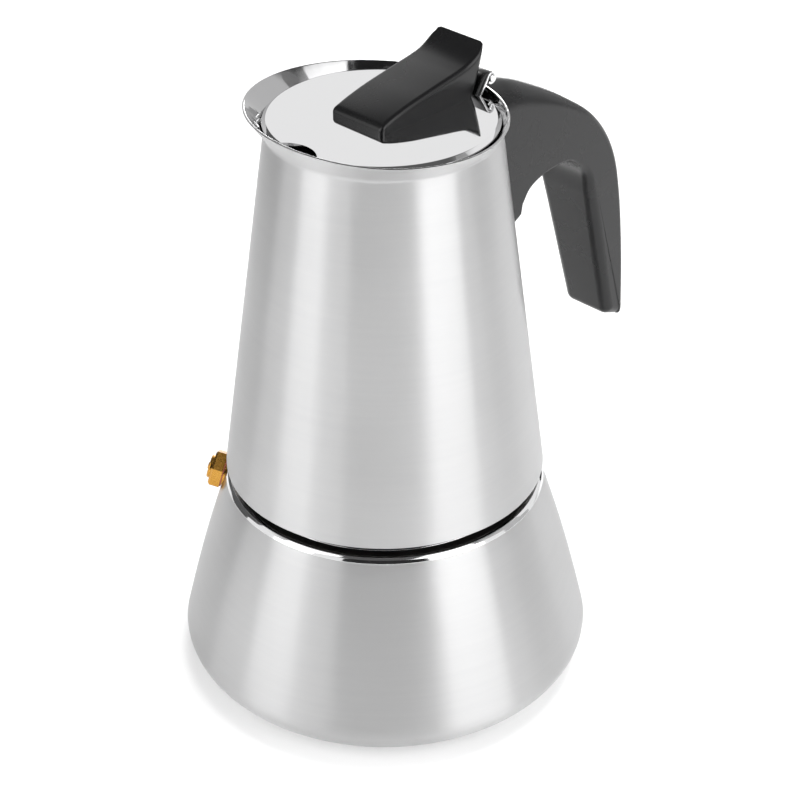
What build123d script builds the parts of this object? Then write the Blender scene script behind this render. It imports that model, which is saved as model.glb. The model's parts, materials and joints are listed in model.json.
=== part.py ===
from build123d import *
import os
from math import cos, pi, radians, sin

# Stovetop moka pot, in millimetres.
# +Z is up, the pot stands on Z = 0 and its axis is the Z axis.
# The handle is on +X, the pouring lip on -X, the safety valve between -X and +Y.

# ---- boiler
floor_radius = 38.8
base_radius = 52.1
base_round_height = 8.8
boiler_top_radius = 39.6
boiler_top_z = 52.4
boiler_side_bulge = 0.6
boiler_wall = 0.9
bead_radius = 40.0
bead_top_z = 54.2
neck_radius = 36.0
neck_bore_radius = 35.0
neck_top_z = 66.0

# ---- safety valve, square to the boiler's side
valve_azimuth = 127.0
valve_tilt = 15.5
valve_wall_radius = 41.15
valve_wall_z = 48.0
valve_hexagon_flats = 8.8
valve_hexagon_back = 0.5
valve_hexagon_face = 3.5
valve_hexagon_chamfer = 0.5
valve_shank_radius = 3.9
valve_shank_end = -4.9
valve_chamber_radius = 2.6
valve_pin_radius = 0.9
valve_disc_radius = 2.35

# ---- funnel
funnel_gap = 0.3
flange_radius = 35.9
flange_thickness = 0.5
bowl_radius = 34.3
bowl_floor_radius = 33.0
bowl_floor_z = 46.5
bowl_neck_z = 41.0
sheet = 0.6
stem_radius = 6.0
stem_bottom_z = 6.0

# ---- seal and filter
seal_gap = 0.3
gasket_thickness = 2.1
gasket_bore_radius = 29.5
filter_thickness = 0.5
hole_rings = 5

# ---- jug
jug_bottom_radius = 39.73
jug_bottom_z = 56.83
jug_top_radius = 27.35
jug_top_z = 146.4
jug_wall = 0.7
jug_floor_thickness = 0.9
jug_thread_radius = 36.3
skirt_set_back = 0.4
lip_radius = 30.1
lip_shift = 1.85
lip_width = 1.3
lip_fullness = 0.6
lip_z = 151.25
lip_slope = 0.02
column_foot_radius = 9.0
column_waist_radius = 6.8
column_top_radius = 6.0
column_flare_height = 5.0
column_top_z = 134.0
cap_top_z = 140.0
cap_overlap = 5.0
cap_gap = 0.15

# ---- lid and hinge
lid_radius = 27.1
lid_shift = 0.5
lid_top_z = 149.85
lid_sheet = 0.7
lid_bevel_width = 2.1
lid_bevel_drop = 1.3
hinge_x = 26.2
hinge_z = 153.5
hinge_pin_radius = 0.9
hinge_running_gap = 0.06
knuckle_radius = 1.55
tab_half_width = 9.4
tab_foot_x = 22.6
tab_relief = 2.3
middle_knuckle_half_width = 2.9
notch_radius = 7.5
notch_inner_x = -23.5

# ---- knob and its screw
knob_half_width = 8.1
knob_screw_x = 8.0
knob_screw_radius = 1.5
knob_screw_gap = 0.15
knob_washer_thickness = 0.5
knob_hole_depth = 4.7

# ---- handle and its fixings
handle_half_width = 10.1
grip_half_width = 7.5
handle_top_z = 152.0
handle_bottom_z = 64.0
handle_edge_radius = 1.8
handle_wall_gap = 0.1
strap_thickness = 0.8
bracket_leg_z = 113.0
bracket_tab_z = 125.5
bracket_tab_thickness = 1.2
bracket_half_width = 4.0
bracket_room = 0.3
handle_screw_x = 46.0
handle_screw_radius = 1.95
screw_seat_z = 123.2
screw_washer_thickness = 0.5
screw_washer_gap = 0.15

# ---- places that follow from the sizes above
flange_z = neck_top_z + funnel_gap
gasket_z = flange_z + flange_thickness + seal_gap
filter_z = gasket_z + seal_gap
jug_floor_z = gasket_z + gasket_thickness + seal_gap
lid_under_z = lid_top_z - lid_sheet


def jug_radius(z):
    """Outer radius of the jug's straight cone at a height."""
    share = (z - jug_bottom_z) / (jug_top_z - jug_bottom_z)
    return jug_bottom_radius + share * (jug_top_radius - jug_bottom_radius)


def valve_plane(distance):
    """Plane across the valve's axis, so far outside the boiler's side."""
    turn = radians(valve_azimuth)
    tilt = radians(valve_tilt)
    outward = Vector(cos(tilt) * cos(turn), cos(tilt) * sin(turn), sin(tilt))
    level = Vector(-sin(turn), cos(turn), 0)
    wall_point = Vector(valve_wall_radius * cos(turn), valve_wall_radius * sin(turn), valve_wall_z)
    return Plane(origin=wall_point + outward * distance, x_dir=level, z_dir=outward)


def boiler_outline(inset):
    """Half section of the boiler's body, drawn in the current line block."""
    round_width = base_radius - floor_radius - inset
    round_height = base_round_height - inset
    foot = Vector(base_radius - inset, base_round_height)
    head = Vector(boiler_top_radius - inset, boiler_top_z)
    side = (head - foot).normalized()
    middle = (foot + head) * 0.5 + Vector(side.Y, -side.X) * boiler_side_bulge
    Line((0, inset), (floor_radius, inset))
    EllipticalCenterArc((floor_radius, base_round_height), round_width, round_height, 270, arc_size=90)
    ThreePointArc(foot, middle, head)
    Polyline(head, (0, boiler_top_z), (0, inset))


def make_boiler_shell():
    """Drawn steel vessel with a flat floor, a rounded foot and a hole for the valve."""
    hole_reach = 3.0
    hole_clearance = 0.1
    with BuildPart() as boiler_shell:
        with BuildSketch(Plane.XZ):
            with BuildLine():
                boiler_outline(0)
            make_face()
        revolve(axis=Axis.Z)
        with BuildSketch(Plane.XZ):
            with BuildLine():
                boiler_outline(boiler_wall)
            make_face()
        revolve(axis=Axis.Z, mode=Mode.SUBTRACT)
        with BuildSketch(valve_plane(-hole_reach)):
            Circle(valve_shank_radius + hole_clearance)
        extrude(amount=2 * hole_reach, mode=Mode.SUBTRACT)
    return boiler_shell


def make_boiler_collar():
    """Steel ring on the vessel, with the rounded bead and the plain root of the neck's thread."""
    bead_round = 0.8
    neck_chamfer = 0.3
    with BuildPart() as boiler_collar:
        with BuildSketch(Plane.XZ):
            with BuildLine():
                Polyline(
                    (bead_radius, bead_top_z - bead_round),
                    (bead_radius, boiler_top_z),
                    (neck_bore_radius, boiler_top_z),
                    (neck_bore_radius, neck_top_z),
                    (neck_radius - neck_chamfer, neck_top_z),
                    (neck_radius, neck_top_z - neck_chamfer),
                    (neck_radius, bead_top_z),
                    (bead_radius - bead_round, bead_top_z),
                )
                RadiusArc(
                    (bead_radius - bead_round, bead_top_z),
                    (bead_radius, bead_top_z - bead_round),
                    bead_round,
                )
            make_face()
        revolve(axis=Axis.Z)
    return boiler_collar


def make_valve_body():
    """Brass hexagon and shank, bored from the front for the plunger's spring."""
    inlet_radius = 1.3
    inlet_depth = 1.2
    chamber_floor = valve_shank_end + inlet_depth
    with BuildPart() as valve_body:
        with BuildSketch(valve_plane(valve_hexagon_back)):
            RegularPolygon(valve_hexagon_flats / 2, 6, major_radius=False, rotation=30)
        extrude(amount=valve_hexagon_face - valve_hexagon_back)
        chamfer(valve_body.faces().sort_by(valve_axis)[-1].edges(), length=valve_hexagon_chamfer)
        with BuildSketch(valve_plane(valve_shank_end)):
            Circle(valve_shank_radius)
        extrude(amount=valve_hexagon_back - valve_shank_end)
        with BuildSketch(valve_plane(chamber_floor)):
            Circle(valve_chamber_radius)
        extrude(amount=valve_hexagon_face - chamber_floor, mode=Mode.SUBTRACT)
        with BuildSketch(valve_plane(valve_shank_end)):
            Circle(inlet_radius)
        extrude(amount=inlet_depth, mode=Mode.SUBTRACT)
    return valve_body


def make_valve_cap():
    """Round boss pressed into the front of the valve, with a guide hole for the plunger."""
    boss_radius = 3.0
    boss_length = 0.9
    spigot_length = 0.7
    boss_round = 0.5
    guide_clearance = 0.08
    with BuildPart() as valve_cap:
        with BuildSketch(valve_plane(valve_hexagon_face)):
            Circle(boss_radius)
        extrude(amount=boss_length)
        fillet(valve_cap.faces().sort_by(valve_axis)[-1].edges(), radius=boss_round)
        with BuildSketch(valve_plane(valve_hexagon_face - spigot_length)):
            Circle(valve_chamber_radius)
        extrude(amount=spigot_length)
        with BuildSketch(valve_plane(valve_hexagon_face - spigot_length)):
            Circle(valve_pin_radius + guide_clearance)
        extrude(amount=spigot_length + boss_length, mode=Mode.SUBTRACT)
    return valve_cap


def make_valve_pin():
    """Plunger: a disc over the inlet and a stem that ends outside the boss."""
    disc_start = valve_shank_end + 1.5
    disc_thickness = 0.8
    stem_end = 4.7
    stem_end_round = 0.25
    with BuildPart() as valve_pin:
        with BuildSketch(valve_plane(disc_start)):
            Circle(valve_disc_radius)
        extrude(amount=disc_thickness)
        with BuildSketch(valve_plane(disc_start)):
            Circle(valve_pin_radius)
        extrude(amount=stem_end - disc_start)
        fillet(valve_pin.faces().sort_by(valve_axis)[-1].edges(), radius=stem_end_round)
    return valve_pin


def make_valve_spring():
    """Coil spring between the plunger's disc and the boss, as flat-ended round wire."""
    coil_radius = 1.9
    wire_radius = 0.28
    start = valve_shank_end + 2.65
    end = 2.45
    turns = 5
    base = valve_plane(start)
    with BuildPart() as valve_spring:
        with BuildLine() as coil:
            Helix(
                pitch=(end - start) / turns,
                height=end - start,
                radius=coil_radius,
                center=base.origin,
                direction=base.z_dir,
            )
        with BuildSketch(Plane(origin=coil.line @ 0, z_dir=coil.line % 0)):
            Circle(wire_radius)
        sweep(path=coil.line, is_frenet=True)
    return valve_spring


def make_valve_nut():
    """Lock nut on the shank, inside the boiler."""
    nut_radius = 5.1
    nut_outer_face = -1.45
    nut_thickness = 2.5
    with BuildPart() as valve_nut:
        with BuildSketch(valve_plane(nut_outer_face - nut_thickness)):
            RegularPolygon(nut_radius, 6)
            Circle(valve_shank_radius, mode=Mode.SUBTRACT)
        extrude(amount=nut_thickness)
    return valve_nut


def make_valve_washer():
    """Soft washer between the hexagon and the boiler's side."""
    washer_radius = 4.3
    washer_back = 0.2
    with BuildPart() as valve_washer:
        with BuildSketch(valve_plane(washer_back)):
            Circle(washer_radius)
            Circle(valve_shank_radius, mode=Mode.SUBTRACT)
        extrude(amount=valve_hexagon_back - washer_back)
    return valve_washer


def make_funnel_bowl():
    """Coffee basket: a flange on the neck, a tapered wall and a conical floor with a hole."""
    flange_top = flange_z + flange_thickness
    inner_floor = bowl_floor_z + sheet
    stem_bore = stem_radius - sheet
    with BuildPart() as funnel_bowl:
        with BuildSketch(Plane.XZ):
            Polygon(
                (flange_radius, flange_z),
                (flange_radius, flange_top),
                (bowl_radius - sheet, flange_top),
                (bowl_floor_radius - sheet, inner_floor),
                (stem_bore, bowl_neck_z + sheet),
                (stem_bore, bowl_neck_z),
                (stem_radius, bowl_neck_z),
                (bowl_floor_radius, bowl_floor_z),
                (bowl_radius, flange_z),
                align=None,
            )
        revolve(axis=Axis.Z)
    return funnel_bowl


def make_funnel_stem():
    """Tube that carries the water up from the boiler's floor."""
    with BuildPart() as funnel_stem:
        with BuildSketch(Plane.XY.offset(stem_bottom_z)):
            Circle(stem_radius)
            Circle(stem_radius - sheet, mode=Mode.SUBTRACT)
        extrude(amount=bowl_neck_z - stem_bottom_z)
    return funnel_stem


def perforations(ring_pitch, ring_count, hole_radius):
    """Holes in rings about the axis, cut from the current sketch."""
    Circle(hole_radius, mode=Mode.SUBTRACT)
    for ring in range(1, ring_count + 1):
        with PolarLocations(ring * ring_pitch, 6 * ring):
            Circle(hole_radius, mode=Mode.SUBTRACT)


def make_funnel_screen():
    """Perforated plate that the ground coffee lies on."""
    screen_gap = 0.1
    screen_radius = bowl_floor_radius - sheet - screen_gap
    hole_pitch = 5.6
    hole_radius = 0.8
    with BuildPart() as funnel_screen:
        with BuildSketch(Plane.XY.offset(bowl_floor_z + sheet + screen_gap)):
            Circle(screen_radius)
            perforations(hole_pitch, hole_rings, hole_radius)
        extrude(amount=sheet)
    return funnel_screen


def make_gasket():
    """Silicone ring that seals the neck's rim against the jug's floor."""
    with BuildPart() as gasket:
        with BuildSketch(Plane.XY.offset(gasket_z)):
            Circle(neck_radius)
            Circle(gasket_bore_radius, mode=Mode.SUBTRACT)
        extrude(amount=gasket_thickness)
    return gasket


def make_filter_plate():
    """Perforated plate with a raised rim, inside the gasket."""
    plate_radius = gasket_bore_radius - seal_gap
    rim_width = 0.6
    rim_height = jug_floor_z - seal_gap / 2 - filter_z
    hole_pitch = 4.6
    hole_radius = 0.7
    with BuildPart() as filter_plate:
        with BuildSketch(Plane.XY.offset(filter_z)):
            Circle(plate_radius)
            perforations(hole_pitch, hole_rings, hole_radius)
        extrude(amount=filter_thickness)
        with BuildSketch(Plane.XY.offset(filter_z)):
            Circle(plate_radius)
            Circle(plate_radius - rim_width, mode=Mode.SUBTRACT)
        extrude(amount=rim_height)
    return filter_plate


def lip_plane(share):
    """Plane of a ring in the lip, from the cone's end (0) to the rim (1), which rises to the spout."""
    height = jug_top_z + share * (lip_z - jug_top_z)
    return Plane(
        origin=(0, 0, height),
        x_dir=(1, 0, -lip_slope * share),
        z_dir=(lip_slope * share, 0, 1),
    )


def lip_ring(flare, inset):
    """Closed ring between the cone's circle (flare 0) and the rim (1): narrow at the hinge, wide at the sides."""
    points = []
    for step in range(24):
        turn = 2 * pi * step / 24
        rim = lip_radius - lip_shift * cos(turn) - lip_width * cos(2 * turn) + lip_fullness * cos(3 * turn)
        radius = jug_top_radius + flare * (rim - jug_top_radius) - inset
        points.append((radius * cos(turn), radius * sin(turn)))
    Spline(*points, periodic=True)


def make_jug_shell():
    """Tall steel cone whose rim flares outwards to the pouring lip."""
    rings = [(0.5, 0.57), (1, 1)]
    with BuildPart() as jug_shell:
        with BuildSketch(Plane.XZ):
            Polygon(
                (0, jug_bottom_z),
                (jug_bottom_radius, jug_bottom_z),
                (jug_top_radius, jug_top_z),
                (0, jug_top_z),
                align=None,
            )
        revolve(axis=Axis.Z)
        with BuildSketch(lip_plane(0)):
            Circle(jug_top_radius)
        for share, flare in rings:
            with BuildSketch(lip_plane(share)):
                with BuildLine():
                    lip_ring(flare, 0)
                make_face()
        loft()
        with BuildSketch(Plane.XZ):
            Polygon(
                (0, jug_bottom_z),
                (jug_bottom_radius - jug_wall, jug_bottom_z),
                (jug_top_radius - jug_wall, jug_top_z),
                (0, jug_top_z),
                align=None,
            )
        revolve(axis=Axis.Z, mode=Mode.SUBTRACT)
        with BuildSketch(lip_plane(0)):
            Circle(jug_top_radius - jug_wall)
        for share, flare in rings:
            with BuildSketch(lip_plane(share)):
                with BuildLine():
                    lip_ring(flare, jug_wall)
                make_face()
        loft(mode=Mode.SUBTRACT)
    return jug_shell


def make_jug_base():
    """Threaded ring and floor of the jug, fitted inside the cone, with a hole for the column."""
    skirt_z = jug_bottom_z + skirt_set_back
    floor_top = jug_floor_z + jug_floor_thickness
    with BuildPart() as jug_base:
        with BuildSketch(Plane.XZ):
            Polygon(
                (jug_thread_radius, skirt_z),
                (jug_radius(skirt_z) - jug_wall, skirt_z),
                (jug_radius(floor_top) - jug_wall, floor_top),
                (column_foot_radius, floor_top),
                (column_foot_radius, jug_floor_z),
                (jug_thread_radius, jug_floor_z),
                align=None,
            )
        revolve(axis=Axis.Z)
    return jug_base


def make_column():
    """Hollow riser column, flared at its foot."""
    flare_top = jug_floor_z + column_flare_height
    bore = column_top_radius - sheet
    with BuildPart() as column:
        with BuildSketch(Plane.XZ):
            Polygon(
                (column_foot_radius - sheet, jug_floor_z),
                (column_foot_radius, jug_floor_z),
                (column_waist_radius, flare_top),
                (column_top_radius, column_top_z),
                (bore, column_top_z),
                (column_waist_radius - sheet, flare_top),
                align=None,
            )
        revolve(axis=Axis.Z)
    return column


def make_column_cap():
    """Domed cap over the column, with a slot on each side for the coffee to leave by."""
    skirt_z = column_top_z - cap_overlap
    dome_round = 3.0
    dome_z = cap_top_z - dome_round
    inner = column_top_radius + cap_gap
    outer = inner + sheet
    slot_z = column_top_z + 1.9
    slot_length = 5.5
    slot_height = 2.6
    with BuildPart() as column_cap:
        with BuildSketch(Plane.XZ):
            with BuildLine():
                Polyline((inner, dome_z), (inner, skirt_z), (outer, skirt_z), (outer, dome_z))
                CenterArc((outer - dome_round, dome_z), dome_round, 0, 90)
                Polyline(
                    (outer - dome_round, cap_top_z),
                    (0, cap_top_z),
                    (0, cap_top_z - sheet),
                    (outer - dome_round, cap_top_z - sheet),
                )
                CenterArc((outer - dome_round, dome_z), dome_round - sheet, 0, 90)
            make_face()
        revolve(axis=Axis.Z)
        with BuildSketch(Plane.YZ.offset(-outer)):
            with Locations((0, slot_z)):
                SlotOverall(slot_length, slot_height)
        extrude(amount=2 * outer, mode=Mode.SUBTRACT)
    return column_cap


def make_hinge_bracket():
    """Steel strap: the hinge's middle knuckle, a step out round the rim and a leg on the wall."""
    knuckle_x = hinge_x + knuckle_radius
    step_z = hinge_z - 1.6
    rim_gap_z = step_z - strap_thickness
    bend_z = 147.0
    leg_top_z = 140.0
    leg_bottom_z = 130.0
    leg_top_x = jug_radius(leg_top_z) + handle_wall_gap
    leg_bottom_x = jug_radius(leg_bottom_z) + handle_wall_gap
    with BuildPart() as hinge_bracket:
        with BuildSketch(Plane.XZ):
            Polygon(
                (knuckle_x - strap_thickness, hinge_z),
                (knuckle_x - strap_thickness, step_z),
                (knuckle_x, rim_gap_z),
                (knuckle_x, bend_z),
                (leg_top_x, leg_top_z),
                (leg_bottom_x, leg_bottom_z),
                (leg_bottom_x + strap_thickness, leg_bottom_z),
                (leg_top_x + strap_thickness, leg_top_z),
                (knuckle_x + strap_thickness, bend_z),
                (knuckle_x + strap_thickness, rim_gap_z),
                (knuckle_x, step_z),
                (knuckle_x, hinge_z),
                align=None,
            )
            with Locations((hinge_x, hinge_z)):
                Circle(knuckle_radius)
                Circle(hinge_pin_radius, mode=Mode.SUBTRACT)
        extrude(amount=middle_knuckle_half_width, both=True)
    return hinge_bracket


def make_hinge_pin():
    """Plain pin through the three knuckles, domed at both ends."""
    end_margin = 0.4
    end_round = 0.35
    with BuildPart() as hinge_pin:
        with BuildSketch(Plane.XZ):
            with Locations((hinge_x, hinge_z)):
                Circle(hinge_pin_radius)
        extrude(amount=tab_half_width + end_margin, both=True)
        fillet(hinge_pin.edges().group_by(Axis.Y)[0], radius=end_round)
        fillet(hinge_pin.edges().group_by(Axis.Y)[-1], radius=end_round)
    return hinge_pin


def make_handle_bracket():
    """Steel angle: a leg on the jug's wall and a tapped tab that reaches into the arm."""
    tab_top_z = bracket_tab_z + bracket_tab_thickness
    tab_end_x = handle_screw_x + 4.5
    leg_thickness = 1.0
    with BuildPart() as handle_bracket:
        with BuildSketch(Plane.XZ):
            Polygon(
                (jug_radius(bracket_leg_z) + handle_wall_gap, bracket_leg_z),
                (jug_radius(bracket_leg_z) + handle_wall_gap + leg_thickness, bracket_leg_z),
                (jug_radius(bracket_tab_z) + handle_wall_gap + leg_thickness, bracket_tab_z),
                (tab_end_x, bracket_tab_z),
                (tab_end_x, tab_top_z),
                (jug_radius(tab_top_z) + handle_wall_gap, tab_top_z),
                align=None,
            )
        extrude(amount=bracket_half_width, both=True)
        with BuildSketch(Plane.XY.offset(bracket_tab_z)):
            with Locations((handle_screw_x, 0)):
                Circle(handle_screw_radius)
        extrude(amount=bracket_tab_thickness, mode=Mode.SUBTRACT)
    return handle_bracket


def make_handle_screw():
    """Pan-head screw from under the arm, with a cross recess."""
    head_radius = 3.3
    head_height = 1.7
    head_round = 0.9
    recess_depth = 0.9
    recess_length = 3.6
    recess_width = 0.8
    shank_length = 7.5
    head_top = screw_seat_z - screw_washer_thickness
    with BuildPart() as handle_screw:
        with BuildSketch(Plane.XY.offset(head_top - head_height)):
            with Locations((handle_screw_x, 0)):
                Circle(head_radius)
        extrude(amount=head_height)
        fillet(handle_screw.faces().sort_by(Axis.Z)[0].edges(), radius=head_round)
        with BuildSketch(Plane.XY.offset(head_top - head_height)):
            with Locations((handle_screw_x, 0)):
                Rectangle(recess_length, recess_width)
                Rectangle(recess_width, recess_length)
        extrude(amount=recess_depth, mode=Mode.SUBTRACT)
        with BuildSketch(Plane.XY.offset(head_top)):
            with Locations((handle_screw_x, 0)):
                Circle(handle_screw_radius)
        extrude(amount=shank_length)
    return handle_screw


def make_handle_washer():
    """Washer under the handle screw's head."""
    washer_radius = 3.45
    with BuildPart() as handle_washer:
        with BuildSketch(Plane.XY.offset(screw_seat_z - screw_washer_thickness)):
            with Locations((handle_screw_x, 0)):
                Circle(washer_radius)
                Circle(handle_screw_radius + screw_washer_gap, mode=Mode.SUBTRACT)
        extrude(amount=screw_washer_thickness)
    return handle_washer


def handle_outline():
    """Side outline of arm, grip and foot, drawn in the current line block."""
    crown = [(28.0, 150.5), (36.0, 149.0), (43.0, 145.7), (53.6, 139.4), (65.3, 130.6)]
    back = [(73.4, 119.4), (78.0, 106.0), (81.7, 86.0), (84.3, 64.9)]
    arch = [(65.8, 107.5), (63.2, 115.4), (57.0, 121.0), (49.0, 121.6), (42.3, 119.6), (39.4, 116.0)]
    grip_foot = (77.3, 67.8)
    arm_foot = (39.0, 113.2)
    arm_foot_z = 109.8
    wall_x = jug_radius(arm_foot_z) - 2
    Spline(*crown, *back)
    Polyline(back[-1], grip_foot, arch[0])
    Spline(*arch)
    Polyline(arch[-1], arm_foot, (wall_x, arm_foot_z), (wall_x, 130), (26.0, 150.5), crown[0])


def make_handle():
    """Moulded arm and grip, cut to fit the jug's wall and pocketed for its brackets."""
    rounded_from_x = 42.0
    rim_room_x = 28.9
    rim_room_z = 146.5
    strap_slot_x = 31.3
    strap_slot_z = 128.5
    strap_slot_gap = 0.4
    tab_top_z = bracket_tab_z + bracket_tab_thickness
    pocket_wall_x = jug_radius(bracket_tab_z) + handle_wall_gap + 1.5
    pocket_end_x = handle_screw_x + 5
    well_radius = 3.6
    shank_clearance = 0.25
    shank_well_depth = 8.0
    with BuildPart() as handle:
        with BuildSketch(Plane.XZ) as side_view:
            with BuildLine():
                handle_outline()
            make_face()
            fillet(side_view.vertices().sort_by(Axis.Y)[:2], radius=handle_edge_radius)
        extrude(amount=handle_half_width + 1, both=True)
        with BuildSketch(Plane.YZ):
            Polygon(
                (-grip_half_width, handle_bottom_z),
                (grip_half_width, handle_bottom_z),
                (handle_half_width, handle_top_z),
                (-handle_half_width, handle_top_z),
                align=None,
            )
        extrude(amount=100, mode=Mode.INTERSECT)
        side_edges = handle.edges().filter_by(lambda edge: abs(edge.center().Y) > grip_half_width - 1)
        outer_edges = side_edges.filter_by(lambda edge: edge.center().X > rounded_from_x)
        fillet(outer_edges, radius=handle_edge_radius)
        with BuildSketch(Plane.XZ):
            Polygon(
                (0, 100),
                (jug_radius(100) + handle_wall_gap, 100),
                (jug_radius(145) + handle_wall_gap, 145),
                (rim_room_x, rim_room_z),
                (rim_room_x, handle_top_z),
                (0, handle_top_z),
                align=None,
            )
        revolve(axis=Axis.Z, mode=Mode.SUBTRACT)
        with BuildSketch(Plane.XY.offset(strap_slot_z)):
            with Locations((strap_slot_x, 0)):
                Rectangle(
                    strap_slot_x,
                    2 * (middle_knuckle_half_width + strap_slot_gap),
                    align=(Align.MAX, Align.CENTER),
                )
        extrude(amount=handle_top_z - strap_slot_z, mode=Mode.SUBTRACT)
        with BuildSketch(Plane.XZ):
            Polygon(
                (0, bracket_leg_z - bracket_room),
                (jug_radius(bracket_leg_z) + handle_wall_gap + 1.5, bracket_leg_z - bracket_room),
                (pocket_wall_x, bracket_tab_z - bracket_room),
                (pocket_end_x, bracket_tab_z - bracket_room),
                (pocket_end_x, tab_top_z + bracket_room),
                (0, tab_top_z + bracket_room),
                align=None,
            )
        extrude(amount=bracket_half_width + bracket_room, both=True, mode=Mode.SUBTRACT)
        with BuildSketch(Plane.XY.offset(screw_seat_z)):
            with Locations((handle_screw_x, 0)):
                Circle(well_radius)
        extrude(amount=-(screw_seat_z - bracket_leg_z), mode=Mode.SUBTRACT)
        with BuildSketch(Plane.XY.offset(screw_seat_z)):
            with Locations((handle_screw_x, 0)):
                Circle(handle_screw_radius + shank_clearance)
        extrude(amount=shank_well_depth, mode=Mode.SUBTRACT)
    return handle


def make_lid():
    """Mirror-flat plate with a bevelled edge, a pouring notch and a slanted hinge tab."""
    flat_radius = lid_radius - lid_bevel_width
    edge_top_z = lid_top_z - lid_bevel_drop
    lid_plane = Plane.XZ.move(Location((-lid_shift, 0, 0)))
    foot = Vector(tab_foot_x, lid_top_z - lid_sheet / 2)
    pin = Vector(hinge_x, hinge_z)
    along = (pin - foot).normalized()
    across = Vector(-along.Y, along.X) * (lid_sheet / 2)
    tab_start = foot - along * 0.2
    tab_end = pin - along * (knuckle_radius - lid_sheet / 2)
    middle_gap = middle_knuckle_half_width + 0.3
    cut_height = 6.0
    with BuildPart() as lid:
        with BuildSketch(lid_plane):
            Polygon(
                (0, lid_under_z),
                (flat_radius, lid_under_z),
                (lid_radius, edge_top_z - lid_sheet),
                (lid_radius, edge_top_z),
                (flat_radius, lid_top_z),
                (0, lid_top_z),
                align=None,
            )
        revolve(axis=Axis((-lid_shift, 0, 0), (0, 0, 1)))
        with BuildSketch(Plane.XY.offset(lid_under_z - cut_height / 2)):
            with Locations((tab_foot_x, 0)):
                Rectangle(10, 2 * (tab_half_width + tab_relief), align=(Align.MIN, Align.CENTER))
            with Locations((notch_inner_x - notch_radius, 0)):
                Circle(notch_radius)
            with Locations((knob_screw_x, 0)):
                Circle(knob_screw_radius + knob_screw_gap)
        extrude(amount=cut_height, mode=Mode.SUBTRACT)
        with BuildSketch(Plane.XZ):
            Polygon(
                tab_start - across,
                tab_end - across,
                tab_end + across,
                tab_start + across,
                align=None,
            )
            with Locations((hinge_x, hinge_z)):
                Circle(knuckle_radius)
        extrude(amount=tab_half_width, both=True)
        with BuildSketch(Plane.XZ):
            with Locations((hinge_x, hinge_z)):
                Circle(knuckle_radius + strap_thickness / 2)
        extrude(amount=middle_gap, both=True, mode=Mode.SUBTRACT)
        with BuildSketch(Plane.XZ):
            with Locations((hinge_x, hinge_z)):
                Circle(hinge_pin_radius + hinge_running_gap)
        extrude(amount=tab_half_width + 1, both=True, mode=Mode.SUBTRACT)
    return lid


def make_knob():
    """Black wedge knob: low at the front, swept up to a sharp crest over the hinge."""
    crest_round = 0.4
    back_foot = (21.6, lid_top_z)
    front_foot = (-8.6, lid_top_z)
    brow = [(-8.4, 151.0), (-6.8, 152.3), (-3.4, 153.5), (2.0, 154.7)]
    crest = [(13.0, 156.7), (19.5, 157.9), (25.5, 161.8)]
    with BuildPart() as knob:
        with BuildSketch(Plane.XZ):
            with BuildLine():
                Spline(*brow, *crest)
                Polyline(crest[-1], (24.3, 157.0), (23.2, 153.4), back_foot, front_foot, brow[0])
            make_face()
        extrude(amount=knob_half_width, both=True)
        fillet(knob.edges().filter_by(Axis.Y).sort_by(Axis.Z)[-1], radius=crest_round)
        with BuildSketch(Plane.XY.offset(lid_top_z)):
            with Locations((knob_screw_x, 0)):
                Circle(knob_screw_radius)
        extrude(amount=knob_hole_depth, mode=Mode.SUBTRACT)
    return knob


def make_knob_washer():
    """Washer under the lid, round the knob's screw."""
    washer_radius = 3.4
    with BuildPart() as knob_washer:
        with BuildSketch(Plane.XY.offset(lid_under_z - knob_washer_thickness)):
            with Locations((knob_screw_x, 0)):
                Circle(washer_radius)
                Circle(knob_screw_radius + knob_screw_gap, mode=Mode.SUBTRACT)
        extrude(amount=knob_washer_thickness)
    return knob_washer


def make_knob_screw():
    """Screw through the lid into the knob, with its head under the lid."""
    head_top = lid_under_z - knob_washer_thickness
    head_radius = 2.8
    head_height = 1.4
    head_round = 0.7
    recess_depth = 0.7
    recess_length = 3.0
    recess_width = 0.7
    shank_end_z = lid_top_z + knob_hole_depth - 0.2
    with BuildPart() as knob_screw:
        with BuildSketch(Plane.XY.offset(head_top - head_height)):
            with Locations((knob_screw_x, 0)):
                Circle(head_radius)
        extrude(amount=head_height)
        fillet(knob_screw.faces().sort_by(Axis.Z)[0].edges(), radius=head_round)
        with BuildSketch(Plane.XY.offset(head_top - head_height)):
            with Locations((knob_screw_x, 0)):
                Rectangle(recess_length, recess_width)
                Rectangle(recess_width, recess_length)
        extrude(amount=recess_depth, mode=Mode.SUBTRACT)
        with BuildSketch(Plane.XY.offset(head_top)):
            with Locations((knob_screw_x, 0)):
                Circle(knob_screw_radius)
        extrude(amount=shank_end_z - head_top)
    return knob_screw


valve_axis = Axis(valve_plane(0).origin, valve_plane(0).z_dir)

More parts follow.
